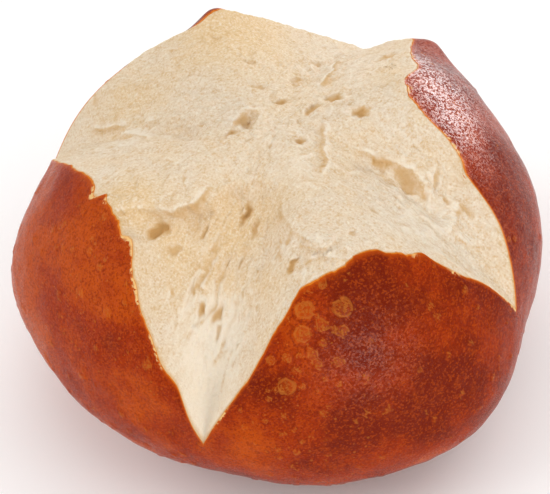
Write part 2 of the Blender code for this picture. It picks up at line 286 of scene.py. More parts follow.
def skin_point(azimuth, tilt, inset=0.0):
    """Points on the bun's rounded skin, or inset below it."""
    half_width = HALF_WIDTH * (1 + sum(size * np.sin(count * azimuth) for count, size in PLAN_WAVES))
    crown = tilt < math.pi / 2
    power = np.where(crown, CROWN_POWER, BELLY_POWER)
    height = np.where(crown, CROWN_HEIGHT, BELLY_DEPTH)
    sideways = (np.abs(np.sin(tilt)) / half_width) ** power
    upwards = (np.abs(np.cos(tilt)) / height) ** power
    radius = (sideways + upwards) ** (-1 / power) - inset
    radius = radius + sum(swell.height * bump(azimuth, tilt, swell) for swell in SWELLS)
    across = radius * np.sin(tilt)
    x = across * np.cos(azimuth) - BASE_CENTRE[0]
    y = across * np.sin(azimuth) - BASE_CENTRE[1]
    return np.stack([x, y, CENTRE_HEIGHT + radius * np.cos(tilt)], axis=-1)


def centre():
    return np.array([-BASE_CENTRE[0], -BASE_CENTRE[1], CENTRE_HEIGHT])


def neighbours(index):
    """The arms on either side of a petal, and the angle between them."""
    before = ARMS[index]
    after = ARMS[(index + 1) % len(ARMS)]
    return before, after, (after.azimuth - before.azimuth) % (2 * math.pi)


def ragged(azimuth):
    """How far the torn edge strays down from its smooth line."""
    around = np.stack([np.cos(azimuth), np.sin(azimuth), 0 * azimuth], axis=-1) * HALF_WIDTH / MM
    stray = sum(size * noise(around / step, 7) for step, size in RAGGED_STEPS)
    for nick in NICKS:
        apart = (np.degrees(azimuth) - nick.azimuth + 180) % 360 - 180
        stray = stray + nick.depth * np.exp(-(apart / nick.spread) ** 2)
    return stray * MM / HALF_WIDTH


def edge_at(turn):
    """The crust's edge: azimuth, tilt and share of the way from petal to arm.

    A turn counts the arms passed, so it is whole at an arm and runs from 0 to 4.
    """
    azimuth = np.zeros(turn.shape)
    tilt = np.zeros(turn.shape)
    share = np.zeros(turn.shape)
    for index, petal in enumerate(PETALS):
        before, after, span = neighbours(index)
        here = before.azimuth + span * (turn - index)
        early = here < petal.azimuth
        reach = np.where(early, petal.azimuth - before.azimuth, before.azimuth + span - petal.azimuth)
        part = np.abs(here - petal.azimuth) / reach
        power = np.where(early, petal.power_before, petal.power_after)
        end = np.where(early, before.tilt, after.tilt)
        inside = (turn >= index) & (turn < index + 1)
        azimuth = np.where(inside, here, azimuth)
        tilt = np.where(inside, petal.tilt + (end - petal.tilt) * part ** power, tilt)
        share = np.where(inside, part, share)
    return azimuth, tilt + ragged(azimuth) * (1 - share ** 6), share


def even_turns(count):
    """Turns spaced evenly along the crust's edge, with one at each arm."""
    result = []
    for index in range(len(ARMS)):
        fine = index + np.arange(EDGE_SAMPLES) / EDGE_SAMPLES
        azimuth, tilt, _ = edge_at(fine)
        strides = np.linalg.norm(np.diff(skin_point(azimuth, tilt), axis=0), axis=1)
        travelled = np.concatenate([[0], np.cumsum(strides)])
        steps = count // len(ARMS)
        result.append(np.interp(travelled[-1] * np.arange(steps) / steps, travelled, fine))
    return np.concatenate(result)


def base_tilt(azimuth):
    """The tilt at which the skin meets the floor, found by halving."""
    low = np.full(azimuth.shape, math.pi / 2)
    high = np.full(azimuth.shape, math.pi)
    for _ in range(40):
        middle = (low + high) / 2
        above = skin_point(azimuth, middle)[:, 2] > 0
        low = np.where(above, middle, low)
        high = np.where(above, high, middle)
    return low


# --- Patterns -----------------------------------------------------------------------------------

def noise(points, seed):
    """Smooth noise from about -1 to 1 at an array of points, one wave to a unit."""
    random = np.random.default_rng(seed)
    table = random.permutation(256)
    slopes = random.normal(size=(256, 3))
    slopes /= np.linalg.norm(slopes, axis=1)[:, None]
    cell = np.floor(points).astype(int)
    local = points - cell
    ease = local ** 3 * (local * (local * 6 - 15) + 10)
    total = np.zeros(len(points))
    for corner in product((0, 1), repeat=3):
        place = (cell + corner) & 255
        slot = table[(table[(table[place[:, 0]] + place[:, 1]) & 255] + place[:, 2]) & 255]
        weight = np.prod(np.where(corner, ease, 1 - ease), axis=1)
        total += weight * np.sum(slopes[slot] * (local - corner), axis=1)
    return total * 1.7


def smooth_step(value):
    value = np.clip(value, 0, 1)
    return value * value * (3 - 2 * value)


def path_distance(x, y, path):
    """Distance to a path in plan, how far along it, the signed side, and its length."""
    nearest = np.full(x.shape, np.inf)
    along = np.zeros(x.shape)
    side = np.zeros(x.shape)
    run = 0.0
    for (ax, ay), (bx, by) in zip(path[:-1], path[1:]):
        length = math.hypot(bx - ax, by - ay)
        ux, uy = (bx - ax) / length, (by - ay) / length
        forward = (x - ax) * ux + (y - ay) * uy
        reach = np.clip(forward, 0, length)
        distance = np.hypot(x - ax - reach * ux, y - ay - reach * uy)
        closer = distance < nearest
        nearest = np.where(closer, distance, nearest)
        along = np.where(closer, run + forward, along)
        side = np.where(closer, (x - ax) * uy - (y - ay) * ux, side)
        run += length
    return nearest, along, side, run


def trough_share(x, y):
    """One in the sunken trough down the front arm, zero outside, steep at the torn ledge."""
    distance, along, side, length = path_distance(x, y, TROUGH_LINE)
    inside = np.where(side > 0, distance, -distance)
    steep, gentle = TROUGH_SLOPES
    softness = steep + (gentle - steep) * smooth_step((x + 8) / 6) + 2 * smooth_step((-16 - x) / 6)
    return smooth_step(inside / softness * 0.5 + 0.5)


def pore_dents(x, y, pores, seed):
    """Depth of the open air cells in the torn crumb, steep at their sides."""
    depth = np.zeros(x.shape)
    flat = np.stack([x, y, 0 * x], axis=-1)
    warp_x = x + 0.6 * noise(flat / 1.6, seed)
    warp_y = y + 0.6 * noise(flat / 1.6, seed + 1)
    for pore in pores:
        near = np.hypot(warp_x - pore.x, warp_y - pore.y) < 2 * max(pore.length, pore.width)
        dx, dy = warp_x[near] - pore.x, warp_y[near] - pore.y
        turn_cos, turn_sin = math.cos(pore.angle * DEG), math.sin(pore.angle * DEG)
        along = (dx * turn_cos + dy * turn_sin) / pore.length
        across = (dy * turn_cos - dx * turn_sin) / pore.width
        depth[near] = np.maximum(depth[near], pore.depth * np.exp(-(along ** 2 + across ** 2) ** 1.4))
    return depth


def fine_pores():
    """Small air cells all over the star, drawn out along the arms' fibres."""
    random = np.random.default_rng(31)
    result = []
    for _ in range(FINE_PORES):
        x, y = random.uniform(-FINE_PORE_REACH, FINE_PORE_REACH, 2)
        upright = abs(y) > abs(x)
        width = random.uniform(0.15, 0.5)
        length = width * random.uniform(1.0, 3.0)
        angle = random.normal(86 if upright else 0, 15)
        result.append(Pore(x, y, length, width, angle, width * random.uniform(0.5, 1.1)))
    return result


def patch_share(x, y, patches):
    """How strongly the patches cover each place in plan, from zero to one."""
    share = np.zeros(x.shape)
    for patch in patches:
        reach = np.hypot(x - patch.x, y - patch.y) / patch.spread
        share = np.maximum(share, patch.share * np.exp(-reach ** 2))
    return share


def fibre_relief(x, y, z):
    """Lanes and threads that run the way each arm tore, how thread-like each place is, and its
    place along and across the strands.
    """
    azimuth = np.arctan2(y, x)
    weights = [np.clip(np.cos(azimuth - flow.azimuth * DEG), 0, 1) ** 3 + 0.05 for flow in FLOWS]
    total = sum(weights)
    height = np.zeros(x.shape)
    thread = np.zeros(x.shape)
    strand = {"along_strand": np.zeros(x.shape), "across_strand": np.zeros(x.shape)}
    for index, (flow, weight) in enumerate(zip(FLOWS, weights)):
        turn_cos, turn_sin = math.cos(flow.angle * DEG), math.sin(flow.angle * DEG)
        along = (x * turn_cos + y * turn_sin) / flow.long
        across = (y * turn_cos - x * turn_sin) / flow.wide
        strand["along_strand"] += weight / total * along
        strand["across_strand"] += weight / total * across
        lanes = noise(np.stack([along, across, z / flow.long], axis=-1), 60 + index)
        fine = noise(np.stack([along * 1.7, across * 2.1, z / flow.wide], axis=-1), 70 + index)
        sharp = (1 - np.abs(fine)) ** 4
        height += weight / total * flow.height * (lanes + 0.45 * fine + 0.5 * sharp - 0.2)
        thread += weight / total * (0.5 * sharp + 0.5 * np.clip(lanes, 0, 1))
    return height, thread, strand


def flakes():
    """Small torn lips all over the star, along the arms' fibres."""
    random = np.random.default_rng(37)
    result = []
    for _ in range(FLAKES):
        x, y = random.uniform(-FINE_PORE_REACH, FINE_PORE_REACH, 2)
        angle = (86 if abs(y) > abs(x) else 0) + random.normal(0, 25) + 180 * random.integers(2)
        length, bend = random.uniform(1.2, 3.5), random.normal(0, 25)
        path = [(x, y)]
        for turn in (angle - bend, angle + bend):
            x, y = x + length * math.cos(turn * DEG), y + length * math.sin(turn * DEG)
            path.append((x, y))
        result.append(Ledge(random.uniform(0.12, 0.4), random.uniform(0.7, 1.6), 1.2, tuple(path)))
    return tuple(result)


def ledge_relief(x, y, ledges):
    """Height of the torn lips, the painted shade at the foot of each, and the painted highlight along its
    brim.
    """
    height = np.zeros(x.shape)
    foot_shade = np.zeros(x.shape)
    brim_highlight = np.zeros(x.shape)
    for ledge in ledges:
        path = np.array(ledge.path)
        middle, reach = path.mean(axis=0), np.ptp(path, axis=0).max() + 2.5 * ledge.width
        near = np.hypot(x - middle[0], y - middle[1]) < reach
        distance, along, side, length = path_distance(x[near], y[near], ledge.path)
        ends = smooth_step(along / ledge.fade + 0.3) * smooth_step((length - along) / ledge.fade + 0.3)
        below = smooth_step(side / LEDGE_FOOT + 0.5)
        breadth = ledge.width + (max(LEDGE_FOOT, 1.3 * ledge.height) - ledge.width) * below
        height[near] += ledge.height * ends * np.exp(-(distance / breadth) ** 2)
        strength = ends * min(1.0, 1.3 * ledge.height)
        # Painted shade below the drop of each lip, and a painted highlight along its raised brim.
        shade = strength * below * np.exp(-(distance / (0.5 + 0.9 * ledge.height)) ** 2)
        foot_shade[near] = np.maximum(foot_shade[near], shade)
        brim_highlight[near] = np.maximum(brim_highlight[near], strength * (1 - below) * np.exp(-(distance / 0.9) ** 2))
    return height, foot_shade, brim_highlight


def crumb_relief(points, look):
    """Height that tearing gives the crumb, in mm, and each point's attributes."""
    place = points / MM
    x = place[:, 0] + BASE_CENTRE[0] / MM
    y = place[:, 1] + BASE_CENTRE[1] / MM
    flat = np.stack([x, y, 0 * x], axis=-1)
    x = x + 0.6 * noise(flat / 3.5, 3) + 0.1 * noise(flat / 1.5, 4)
    y = y + 0.6 * noise(flat / 3.5, 5) + 0.1 * noise(flat / 1.5, 6)
    height = np.zeros(len(points))
    for mark in MARKS:
        distance, along, _, length = path_distance(x, y, mark.path)
        ends = smooth_step(along / mark.fade + 0.5) * smooth_step((length - along) / mark.fade + 0.5)
        height += mark.height * ends * np.exp(-(distance / mark.width) ** 2)
    lips, foot_shade, brim_highlight = ledge_relief(x, y, LEDGES + flakes())
    torn = patch_share(x, y, TORN_PATCHES)
    pores = pore_dents(x, y, PORES, 11) + 0.75 * pore_dents(x, y, fine_pores(), 13)
    drawn, thread, strand = fibre_relief(x, y, place[:, 2])
    lumps = noise(place / 4.5, 21)
    knots = noise(place / 1.8, 22)
    bits = noise(place / 0.9, 23)
    flake = (1 - np.abs(noise(place / 3.0 + 0.3 * knots[:, None], 24))) ** 6
    rough = 0.10 * lumps + (0.06 + 0.20 * torn) * knots + (0.06 + 0.08 * torn) * bits
    rough += (0.12 + 0.45 * torn) * (flake - 0.15)
    fibres = look.fibre_height / MM * (drawn + rough)
    height += lips + fibres - pores * look.pore_depth - TROUGH_DEPTH * trough_share(x, y)
    # Painted shade: the hollow_shade share darkens the colour in pores, in dips between the fibres and at the
    # feet of torn lips, where shade falls.
    hollow_shade = np.clip(pores * 1.2 + 1.1 * np.maximum(-fibres - 0.05, 0) + 0.7 * foot_shade, 0, 1)
    mouth = np.clip(pores / 0.35, 0, 1)
    # The pale_and_lit share holds the pale threads and flakes, a painted highlight round the rims of pores
    # and along lip brims, and the white and painted light patches, less the painted shade at lip feet.
    pale_and_lit = 0.4 * thread + (0.2 + 0.6 * torn) * flake + 0.8 * brim_highlight - foot_shade + 1.2 * mouth * (1 - mouth)
    pale_and_lit += patch_share(x, y, WHITE_AND_LIT_PATCHES)
    shares = {"hollow_shade": hollow_shade, "pale_and_lit": np.clip(pale_and_lit, 0, 1), "golden": patch_share(x, y, GOLDEN_PATCHES)}
    return height, {**shares, **strand}


def blister_profile(points, blisters):
    """Height share of each blister's dome, and its ring: paler above zero, darker below."""
    stray = np.stack([noise(points / (1.6 * MM), seed) for seed in (81, 82, 83)], axis=-1)
    warped = points + 0.35 * MM * stray
    dome = np.zeros(len(points))
    ring = np.zeros(len(points))
    for blister in blisters:
        azimuth, tilt = np.array([blister.azimuth * DEG]), np.array([blister.tilt * DEG])
        middle = skin_point(azimuth, tilt)[0]
        distance = np.linalg.norm(warped - middle, axis=1) / MM
        near = distance < 2 * blister.radius
        part = distance[near] / blister.radius
        dome[near] = np.maximum(dome[near], smooth_step(2 * (1.05 - part)))
        both = np.exp(-((part - 0.82) / 0.2) ** 2) - 0.8 * np.exp(-((part - 1.2) / 0.17) ** 2)
        ring[near] = np.where(np.abs(both) > np.abs(ring[near]), both, ring[near])
    return dome, ring


def skin_share(azimuth, tilt, patches):
    """How strongly patches cover each place on the skin."""
    hills = [Swell(s.azimuth * DEG, s.tilt * DEG, s.share, s.spread * DEG) for s in patches]
    return sum(hill.height * bump(azimuth, tilt, hill) for hill in hills)


def blister_crowd(azimuth):
    """How thickly small blisters, and light flecks with painted glints, lie at an azimuth in degrees, from
    zero to one.
    """
    return np.exp(-((azimuth + 64) / 13) ** 2) + 0.6 * np.exp(-((azimuth + 125) / 35) ** 2) + 0.12


def fine_blisters():
    """Small blisters over the crust, thickest on the left of the front petal."""
    random = np.random.default_rng(43)
    result = []
    while len(result) < FINE_BLISTERS:
        azimuth = random.uniform(-180, 180)
        tilt = random.uniform(45, 125)
        if random.uniform(0, 1) < blister_crowd(azimuth):
            result.append(Blister(azimuth, tilt, random.uniform(0.35, 0.9)))
    return result


# --- Meshes -------------------------------------------------------------------------------------

def join_rings(rings):
    """Vertices and faces of a closed skin through rings whose point counts stay the same or double."""
    starts = np.concatenate([[0], np.cumsum([len(ring) for ring in rings])])
    faces = []
    for low, high, upper, lower in zip(starts[:-2], starts[1:-1], rings[:-1], rings[1:]):
        i = np.arange(len(upper))
        j = (i + 1) % len(upper)
        if len(lower) == len(upper):
            faces += np.stack([low + i, high + i, high + j, low + j], 1).tolist()
        else:
            a, b, c = high + 2 * i, high + 2 * i + 1, high + 2 * j
            faces += np.stack([low + i, a, b], 1).tolist()
            faces += np.stack([low + i, b, low + j], 1).tolist()
            faces += np.stack([low + j, b, c], 1).tolist()
    points = np.concatenate(rings)
    for ring, start, outwards in ((rings[0], 0, True), (rings[-1], starts[-2], False)):
        i = np.arange(len(ring))
        j = (i + 1) % len(ring)
        tip = np.full(len(ring), len(points))
        corners = [tip, start + i, start + j] if outwards else [tip, start + j, start + i]
        faces += np.stack(corners, 1).tolist()
        points = np.concatenate([points, ring.mean(axis=0, keepdims=True)])
    return points, faces


def make_piece(name, points, faces, attributes):
    """A smooth mesh object with its point attributes."""
    mesh = bpy.data.meshes.new(name)
    mesh.from_pydata(points.tolist(), [], faces)
    for label, values in attributes.items():
        layer = mesh.attributes.new(label, "FLOAT", "POINT")
        layer.data.foreach_set("value", values.astype(np.float32))
    mesh.shade_smooth()
    mesh.update()
    piece = bpy.data.objects.new(name, mesh)
    bpy.context.scene.collection.objects.link(piece)
    return piece


def settle(piece):
    """Say what the piece rides on, and hide the part that it stands for."""
    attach(piece, BODY)
    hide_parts(NODE)


def film_ring(waves, turn, share, out):
    """One ring of the crumb's film: each wave of its rim dies away towards the middle."""
    order = np.arange(len(waves))
    turning = np.exp(2j * math.pi / len(ARMS) * turn[:, None] * order)
    ring = (turning @ (waves * out ** order[:, None])).real
    middle = 1 - out ** 2
    ring[:, 2] += middle * (CRUMB_RISE + CRUMB_RIDGE * np.cos(math.pi * share) * 4 * out ** 2)
    return ring


def crumb_rim(turn):
    azimuth, tilt, _ = edge_at(turn)
    return skin_point(azimuth, tilt - RIM_SHIFT / HALF_WIDTH, RIM_INSET)


def crumb_film(look):
    """Rings of the torn crumb with its relief, out to its rim, and its points' attributes."""
    even = len(ARMS) * np.arange(EDGE_SAMPLES) / EDGE_SAMPLES
    waves = np.fft.rfft(crumb_rim(even), axis=0) / EDGE_SAMPLES
    waves[1:] *= 2
    rings, outs = [], []
    for step in range(1, CRUMB_STEPS + 1):
        crowded = math.sin(math.pi / 2 * step / CRUMB_STEPS)
        out = (1 - CRUMB_CROWDING) * step / CRUMB_STEPS + CRUMB_CROWDING * crowded
        count = next(number for limit, number in CRUMB_COUNTS if out < limit)
        turn = even_turns(AROUND)[::AROUND // count]
        _, _, share = edge_at(turn)
        rings.append(film_ring(waves, turn, share, out) if step < CRUMB_STEPS else crumb_rim(turn))
        outs.append(np.full(count, out))
    points = np.concatenate(rings)
    out = np.concatenate(outs)
    height, attributes = crumb_relief(points, look)
    azimuth = np.arctan2(points[:, 1], points[:, 0]) / DEG
    behind = np.exp(-((azimuth - 112) / 45) ** 2) * (1 - np.exp(-((azimuth - 134) / 10) ** 2))
    height += RIM_BULGE * out ** BULGE_POWER * behind
    outward = points - centre()
    outward /= np.linalg.norm(outward, axis=1)[:, None]
    points = points + outward * (height * MM * (1 - out ** RELIEF_POWER))[:, None]
    cuts = np.cumsum([len(ring) for ring in rings])[:-1]
    return np.split(points, cuts), {**attributes, "from_rim": 1 - out}


def under_rings(turn, inset, steps):
    """Rings under the skin from its torn edge to the floor, inset from both."""
    azimuth, tilt, _ = edge_at(turn)
    floor = base_tilt(azimuth)
    result = []
    for down in np.linspace(0, 1, steps + 1):
        ring = skin_point(azimuth, tilt + (floor - tilt) * down, inset)
        ring[:, 2] = np.maximum(ring[:, 2], inset)
        result.append(ring)
    return result


# --- Materials ----------------------------------------------------------------------------------

SMOOTH = {"interpolation_type": "SMOOTHSTEP"}


def add_node(tree, kind, settings=None, inputs=None):
    """A node with its settings, and its inputs set to values, or linked to sockets or nodes."""
    node = tree.nodes.new(kind)
    for key, value in (settings or {}).items():
        setattr(node, key, value)
    for key, value in (inputs or {}).items():
        if isinstance(value, bpy.types.Node):
            value = value.outputs[0]
        if isinstance(value, bpy.types.NodeSocket):
            tree.links.new(value, node.inputs[key])
        else:
            node.inputs[key].default_value = value
    return node


def new_material(name):
    material = bpy.data.materials.new(name)
    material.use_nodes = True
    material.node_tree.nodes.clear()
    return material, material.node_tree


def read_surface(tree, labels, widths):
    """The piece's own place, its attributes by name, and noises by their width in millimetres."""
    place = add_node(tree, "ShaderNodeTexCoord").outputs["Object"]
    share = {}
    for label in labels:
        share[label] = add_node(tree, "ShaderNodeAttribute", {"attribute_name": label}).outputs["Fac"]
    noises = {}
    for width in widths:
        noises[width] = add_node(tree, "ShaderNodeTexNoise", None, {
            "Vector": place, "Scale": 1 / (width * MM), "Detail": 4.0, "Roughness": 0.6})
    return place, share, noises


def lay_colours(tree, base, layers):
    """Colours laid over a base. Each sets in as its value runs from none to full."""
    colour = tuple(base)
    for value, none, full, most, over in layers:
        strength = add_node(tree, "ShaderNodeMapRange", SMOOTH, {0: value, 1: none, 2: full, 4: most})
        mix = add_node(tree, "ShaderNodeMix", {"data_type": "RGBA"}, {0: strength, 6: colour, 7: tuple(over)})
        colour = mix.outputs[2]
    return colour


def finish_material(material, tree, settings):
    shader = add_node(tree, "ShaderNodeBsdfPrincipled", None, settings)
    add_node(tree, "ShaderNodeOutputMaterial", None, {"Surface": shader})
    return material


def crumb_material(look):
    """Torn wheat crumb: a dull, slightly translucent foam of gluten and starch.

    Light goes a little way into it, so shadows are soft and warm. Painted shade turns pores, cracks and the
    feet of torn lips tan and deeper brown, painted highlights lie along lip brims and pore rims, and the
    drawn membranes show as fine pale streaks.
    """
    material, tree = new_material("torn_wheat_crumb")
    labels = ("hollow_shade", "pale_and_lit", "golden", "from_rim", "along_strand", "across_strand")
    _, share, noises = read_surface(tree, labels, (11, 1.8, 0.45))
    along = add_node(tree, "ShaderNodeMath", {"operation": "MULTIPLY"}, {0: share["along_strand"], 1: 2.0})
    across = add_node(tree, "ShaderNodeMath", {"operation": "MULTIPLY"}, {0: share["across_strand"], 1: 3.0})
    strand = add_node(tree, "ShaderNodeCombineXYZ", None, {0: along, 1: across})
    strands = add_node(tree, "ShaderNodeTexNoise", None, {
        "Vector": strand, "Scale": 1.0, "Detail": 3.0, "Roughness": 0.6})
    colour = lay_colours(tree, look.pale_colour, (
        (noises[11], 0.40, 0.62, 0.35, look.cream_colour),
        (share["golden"], 0.0, 1.0, 1.0, look.cream_colour),
        (noises[1.8], 0.48, 0.72, 0.38, look.tan_and_shade_colour),
        (strands, 0.50, 0.78, 0.40, look.tan_and_shade_colour),
        (strands, 0.48, 0.25, 0.50, look.white_and_highlight_colour),
        (noises[0.45], 0.50, 0.68, 0.5, look.tan_and_shade_colour),
        (noises[0.45], 0.48, 0.32, 0.6, look.white_and_highlight_colour),
        # Whiter for the pale membranes, for painted highlights on lip brims and pore rims, and for painted
        # light at the front tip.
        (share["pale_and_lit"], 0.3, 1.0, 0.8, look.white_and_highlight_colour),
        # Painted shade in pores, cracks and at the feet of torn lips, deepest at the bottom of the deepest
        # pores.
        (share["hollow_shade"], 0.05, 0.85, 0.9, look.tan_and_shade_colour),
        (share["hollow_shade"], 0.75, 1.0, 0.6, look.deep_shade_colour),
        (share["from_rim"], 0.006, 0.0, 0.6, look.rim_colour),
    ))
    combed = add_node(tree, "ShaderNodeBump", None, {
        "Height": strands, "Distance": 0.3 * MM, "Strength": 0.6})
    relief = add_node(tree, "ShaderNodeBump", None, {
        "Height": noises[0.45], "Distance": 0.25 * MM, "Strength": 1.0, "Normal": combed})
    return finish_material(material, tree, {
        "Base Color": colour, "Roughness": 0.7, "IOR": 1.4, "Specular IOR Level": 0.3,
        "Subsurface Weight": 0.1, "Subsurface Scale": 0.4 * MM, "Subsurface Radius": (1.0, 0.62, 0.36),
        "Normal": relief})


def crust_material(look):
    """Lye-browned crust: a thin hard skin, browned deep red by the lye bath and the oven.

    It is orange where it is thin, at the torn edge and on blisters. Its own gloss is very low. The
    coat is the glaze that the lye leaves, which the fine grain of the dough breaks into sparkles.
    """
    material, tree = new_material("lye_browned_crust")
    labels = ("from_edge", "blister_ring", "blister_dome", "scorch", "gloss", "fleck_and_glint_share", "peeled")
    place, share, noises = read_surface(tree, labels, (13, 2.4, 0.5))
    spots, bits, grain = (
        add_node(tree, "ShaderNodeTexVoronoi", None, {"Vector": place, "Scale": 1 / (width * MM)})
        for width in (1.5, 0.55, 0.34))
    grain = grain.outputs["Color"]
    cloud = add_node(tree, "ShaderNodeMath", {"operation": "MULTIPLY_ADD"},
                     {0: share["scorch"], 1: 0.19, 2: noises[13]})
    dots = add_node(tree, "ShaderNodeMath", {"operation": "MULTIPLY_ADD"}, {0: noises[2.4], 1: 0.6, 2: spots})
    dotted = add_node(tree, "ShaderNodeMapRange", SMOOTH, {0: dots, 1: 0.46, 2: 0.34})
    # Light flecks near the blisters: partly the crust's own tan flecks, partly painted glints that stand in
    # for the sparkle of the glaze.
    flecks_and_glints = add_node(tree, "ShaderNodeMath", {"operation": "MULTIPLY"}, {0: share["fleck_and_glint_share"], 1: dotted})
    mottle = add_node(tree, "ShaderNodeMath", {"operation": "MULTIPLY"}, {0: share["blister_dome"], 1: grain})
    frayed = add_node(tree, "ShaderNodeMath", {"operation": "MULTIPLY_ADD"},
                      {0: noises[2.4], 1: 0.9, 2: share["from_edge"]})
    peeled = add_node(tree, "ShaderNodeMath", {"operation": "MULTIPLY"},
                      {0: share["peeled"], 1: bits.outputs["Color"]})
    colour = lay_colours(tree, look.brown_colour, (
        (cloud, 0.42, 0.68, 1.0, look.dark_colour),
        (cloud, 0.46, 0.24, 0.9, look.orange_colour),
        (noises[2.4], 0.50, 0.75, 0.3, look.orange_colour),
        (noises[2.4], 0.48, 0.25, 0.3, look.dark_colour),
        (grain, 0.50, 0.85, 0.5, look.dark_colour),
        (grain, 0.45, 0.15, 0.4, look.orange_colour),
        (flecks_and_glints, 0.0, 0.6, 0.35, look.blister_and_glint_colour),
        (share["blister_ring"], -0.2, -0.8, 0.55, look.dark_colour),
        (share["blister_dome"], 0.1, 1.0, 0.15, look.orange_colour),
        (mottle, 0.30, 0.8, 0.5, look.blister_and_glint_colour),
        (share["blister_ring"], 0.3, 1.0, 0.45, look.blister_and_glint_colour),
        (frayed, 1.9, 0.6, 0.7, look.orange_colour),
        (frayed, 0.80, 0.45, 1.0, look.edge_colour),
        (peeled, 0.10, 0.30, 0.9, look.bare_colour),
    ))
    relief = add_node(tree, "ShaderNodeBump", None, {
        "Height": noises[0.5], "Distance": 0.2 * MM, "Strength": 1.0})
    rough = add_node(tree, "ShaderNodeMapRange", SMOOTH, {0: noises[0.5], 1: 0.35, 2: 0.7, 3: 0.18, 4: 0.34})
    sparkle = add_node(tree, "ShaderNodeMapRange", SMOOTH, {0: grain, 1: 0.60, 2: 0.40, 3: 0.04, 4: 1.1})
    glaze = add_node(tree, "ShaderNodeMath", {"operation": "MULTIPLY", "use_clamp": True},
                     {0: share["gloss"], 1: sparkle})
    return finish_material(material, tree, {
        "Base Color": colour, "Roughness": rough, "IOR": 1.4, "Specular IOR Level": 0.06, "Normal": relief,
        "Coat Weight": glaze, "Coat Roughness": 0.22, "Coat IOR": 2.8, "Coat Normal": relief})


def floor_material(settings):
    """Matt laminate board: a smooth pale sheet with no pattern."""
    material, tree = new_material("pale_laminate_board")
    return finish_material(material, tree, {
        "Base Color": tuple(settings.floor_colour), "Roughness": 0.6, "Specular IOR Level": 0.2})


# --- Geometry Nodes -----------------------------------------------------------------------------

def new_tree(name, inputs):
    """A Geometry Nodes tree with its named inputs; returns it, the given sockets and identifiers."""
    tree = bpy.data.node_groups.new(name, "GeometryNodeTree")
    tree.interface.new_socket("Geometry", in_out="INPUT", socket_type="NodeSocketGeometry")
    tree.interface.new_socket("Geometry", in_out="OUTPUT", socket_type="NodeSocketGeometry")
    names = {}
    for label, kind in inputs.items():
        names[label] = tree.interface.new_socket(label, in_out="INPUT", socket_type=kind).identifier
    return tree, tree.nodes.new("NodeGroupInput").outputs, names


def finish_tree(tree, geometry, material):
    """End a tree in Realize Instances and Set Material."""
    real = add_node(tree, "GeometryNodeRealizeInstances", None, {0: geometry})
    dressed = add_node(tree, "GeometryNodeSetMaterial", None, {"Geometry": real, "Material": material})
    add_node(tree, "NodeGroupOutput", None, {0: dressed})


def grain_tree():
    """Fine grain on a surface: a noise pushes its points in and out along their normals."""
    tree, given, names = new_tree("Surface grain", {
        "Grain size": "NodeSocketFloat", "Grain height": "NodeSocketFloat", "Material": "NodeSocketMaterial"})
    scale = add_node(tree, "ShaderNodeMath", {"operation": "DIVIDE"}, {0: 1.0, 1: given["Grain size"]})
    coarse = add_node(tree, "ShaderNodeTexNoise", None, {"Scale": scale, "Detail": 3.0})
    height = add_node(tree, "ShaderNodeMath", {"operation": "SUBTRACT"}, {0: coarse, 1: 0.5})
    height = add_node(tree, "ShaderNodeMath", {"operation": "MULTIPLY"},
                      {0: height, 1: given["Grain height"]})
    keep = add_node(tree, "GeometryNodeInputNamedAttribute", {"data_type": "FLOAT"}, {"Name": "grain_share"})
    height = add_node(tree, "ShaderNodeMath", {"operation": "MULTIPLY"}, {0: height, 1: keep})
    normal = add_node(tree, "GeometryNodeInputNormal")
    push = add_node(tree, "ShaderNodeVectorMath", {"operation": "SCALE"}, {"Vector": normal, "Scale": height})
    moved = add_node(tree, "GeometryNodeSetPosition", None, {"Geometry": given["Geometry"], "Offset": push})
    finish_tree(tree, moved, given["Material"])
    return tree, names


def scraps_tree():
    """Torn scraps: small uneven crumbs scattered where the surface's scrap share says."""
    tree, given, names = new_tree("Torn scraps", {
        "Scraps per square metre": "NodeSocketFloat", "Scrap size": "NodeSocketFloat",
        "Seed": "NodeSocketInt", "Material": "NodeSocketMaterial"})
    seed = given["Seed"]
    share = add_node(tree, "GeometryNodeInputNamedAttribute", {"data_type": "FLOAT"}, {"Name": "scrap_share"})
    density = add_node(tree, "ShaderNodeMath", {"operation": "MULTIPLY"},
                       {0: share, 1: given["Scraps per square metre"]})
    spots = add_node(tree, "GeometryNodeDistributePointsOnFaces", None,
                     {"Mesh": given["Geometry"], "Density": density, "Seed": seed})
    ball = add_node(tree, "GeometryNodeMeshIcoSphere", None, {"Radius": 1.0, "Subdivisions": 2})
    dent = add_node(tree, "ShaderNodeTexNoise", None, {"Scale": 1.3, "Detail": 1.0})
    dent = add_node(tree, "ShaderNodeVectorMath", {"operation": "SUBTRACT"},
                    {0: dent.outputs["Color"], 1: (0.5, 0.5, 0.5)})
    lump = add_node(tree, "GeometryNodeSetPosition", None, {"Geometry": ball, "Offset": dent})
    turn = add_node(tree, "FunctionNodeRandomValue", {"data_type": "FLOAT_VECTOR"},
                    {0: (0, 0, 0), 1: (6.3, 6.3, 6.3), "Seed": seed})
    size = add_node(tree, "FunctionNodeRandomValue", {"data_type": "FLOAT_VECTOR"},
                    {0: (0.3, 0.3, 0.25), 1: (1.0, 0.9, 0.7), "Seed": seed})
    size = add_node(tree, "ShaderNodeVectorMath", {"operation": "SCALE"},
                    {"Vector": size, "Scale": given["Scrap size"]})
    placed = add_node(tree, "GeometryNodeInstanceOnPoints", None, {
        "Points": spots, "Instance": lump, "Rotation": turn, "Scale": size})
    finish_tree(tree, placed, given["Material"])
    return tree, names


